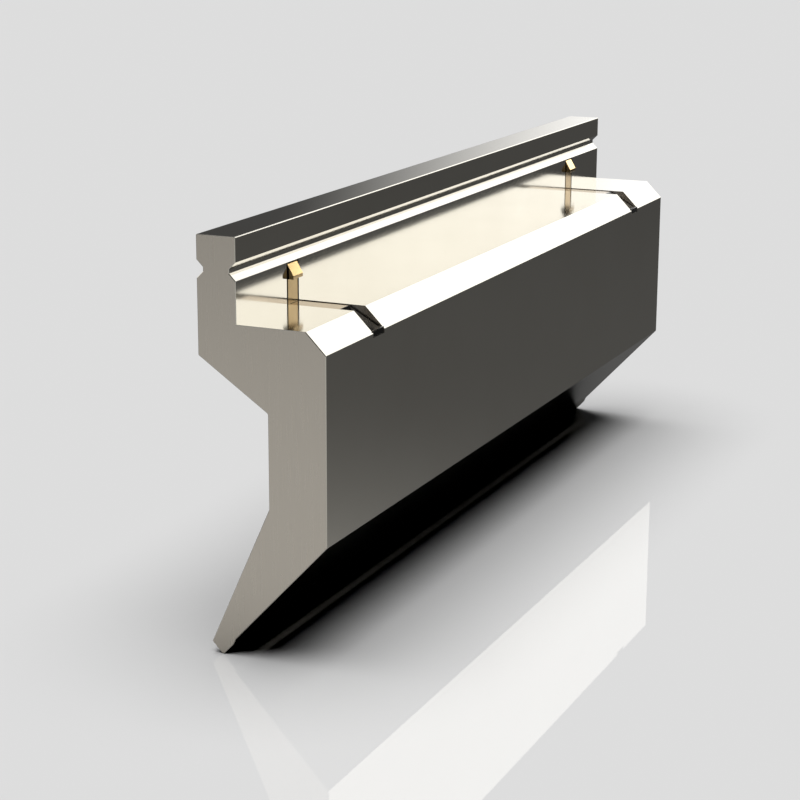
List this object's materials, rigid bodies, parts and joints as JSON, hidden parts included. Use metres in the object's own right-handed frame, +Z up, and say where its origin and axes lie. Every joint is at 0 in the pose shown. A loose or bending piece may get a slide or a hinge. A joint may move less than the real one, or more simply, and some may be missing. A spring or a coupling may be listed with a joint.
{
  "type": "press brake punch",
  "caption": "Gooseneck upper tool for a press brake: ground steel bar with a grooved tang, a load shoulder, a relieved web, a bending tip and sprung bronze latches.",
  "frame": {"origin": "mid-length of the bar, on the tang's centre plane, level with the load shoulder", "axes": "+X along the bar, to the operator's right; -Y towards the operator, where the shoulder and the latch noses are; +Z up, out of the top of the tang"},
  "size_m": [0.5, 0.065, 0.2],
  "materials": {
    "tool_steel": "ground and polished",
    "bronze": "satin milled",
    "screw_steel": "black oxide",
    "spring_steel": "drawn wire",
    "pin_steel": "ground"
  },
  "bodies": {
    "bar": {"punch_body": "tool_steel", "guide_pin_left": "pin_steel", "guide_pin_right": "pin_steel", "return_spring_left": "spring_steel", "return_spring_right": "spring_steel"},
    "left_latch": {"latch_left": "bronze", "shoulder_screw_left": "screw_steel"},
    "right_latch": {"latch_right": "bronze", "shoulder_screw_right": "screw_steel"}
  },
  "joints": [
    {"name": "latch_press_left", "type": "slide", "parent": "bar", "child": "left_latch", "axis": [0, 1, 0], "range_m": [0, 0.0032], "stiffness_N_per_m": 800, "springref_m": -0.0033, "deforming": ["return_spring_left"]},
    {"name": "latch_press_right", "type": "slide", "parent": "bar", "child": "right_latch", "axis": [0, 1, 0], "range_m": [0, 0.0032], "stiffness_N_per_m": 800, "springref_m": -0.0033, "deforming": ["return_spring_right"]}
  ]
}
